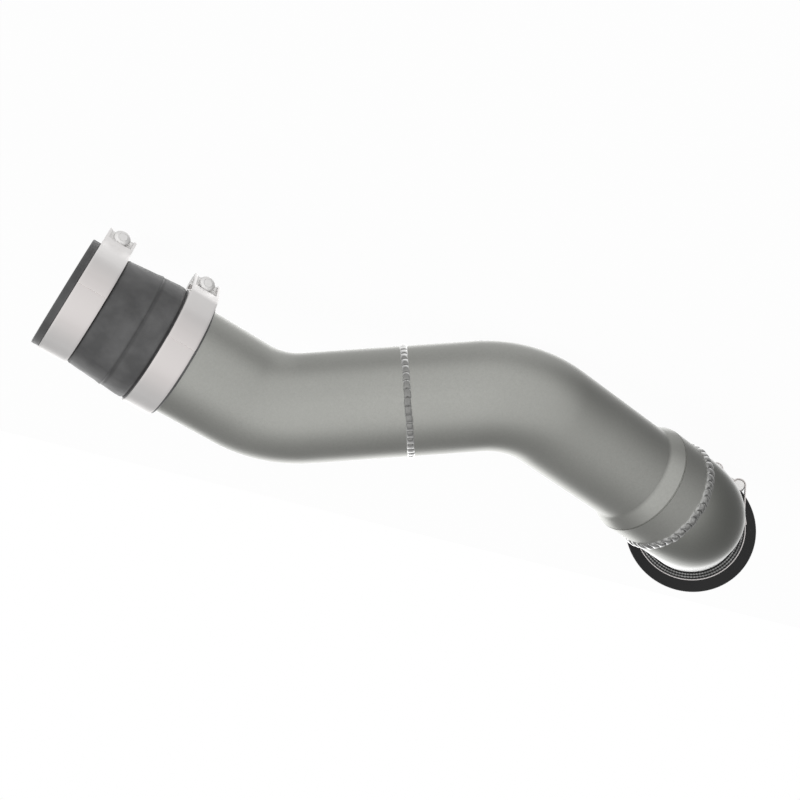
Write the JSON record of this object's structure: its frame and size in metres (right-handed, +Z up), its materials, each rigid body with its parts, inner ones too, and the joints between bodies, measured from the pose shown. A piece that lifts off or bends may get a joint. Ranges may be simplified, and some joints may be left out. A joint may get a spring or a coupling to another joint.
{
  "type": "cold air intake pipe",
  "caption": "Bent and welded metal cold air intake pipe with a silicone reducer hose at its small end, a silicone hump hose at its large end, and T-bolt band clamps.",
  "frame": {"origin": "bottom centre of the bounding box, on the floor the pipe rests on", "axes": "+Z up as the pipe lies at rest; +X along the longest extent, towards the mouth of the inlet hose; +Y towards the open end of the outlet hose"},
  "size_m": [0.6114, 0.437, 0.1269],
  "materials": {
    "tube_metal": "bead-blasted, matte",
    "weld": "bare weld, rippled",
    "grey_silicone": "satin dark grey silicone",
    "black_silicone": "satin black silicone",
    "band_steel": "bright rolled stainless",
    "bolt_steel": "zinc-plated"
  },
  "bodies": {
    "root": {"centre_tube": "tube_metal", "centre_weld_bead": "weld", "elbow_weld_bead": "weld", "inlet_coupler": "grey_silicone", "inlet_inner_band": "band_steel", "inlet_inner_bridge": "band_steel", "inlet_inner_lock_nut": "bolt_steel", "inlet_inner_t_bolt": "bolt_steel", "inlet_inner_trunnion": "bolt_steel", "inlet_inner_washer": "bolt_steel", "inlet_outer_band": "band_steel", "inlet_outer_bridge": "band_steel", "inlet_outer_lock_nut": "bolt_steel", "inlet_outer_t_bolt": "bolt_steel", "inlet_outer_trunnion": "bolt_steel", "inlet_outer_washer": "bolt_steel", "inlet_tube": "tube_metal", "outlet_coupler": "black_silicone", "outlet_elbow": "tube_metal", "outlet_far_band": "band_steel", "outlet_far_bridge": "band_steel", "outlet_far_lock_nut": "bolt_steel", "outlet_far_t_bolt": "bolt_steel", "outlet_far_trunnion": "bolt_steel", "outlet_far_washer": "bolt_steel", "outlet_near_band": "band_steel", "outlet_near_bridge": "band_steel", "outlet_near_lock_nut": "bolt_steel", "outlet_near_t_bolt": "bolt_steel", "outlet_near_trunnion": "bolt_steel", "outlet_near_washer": "bolt_steel", "step_adapter": "tube_metal"}
  },
  "joints": []
}
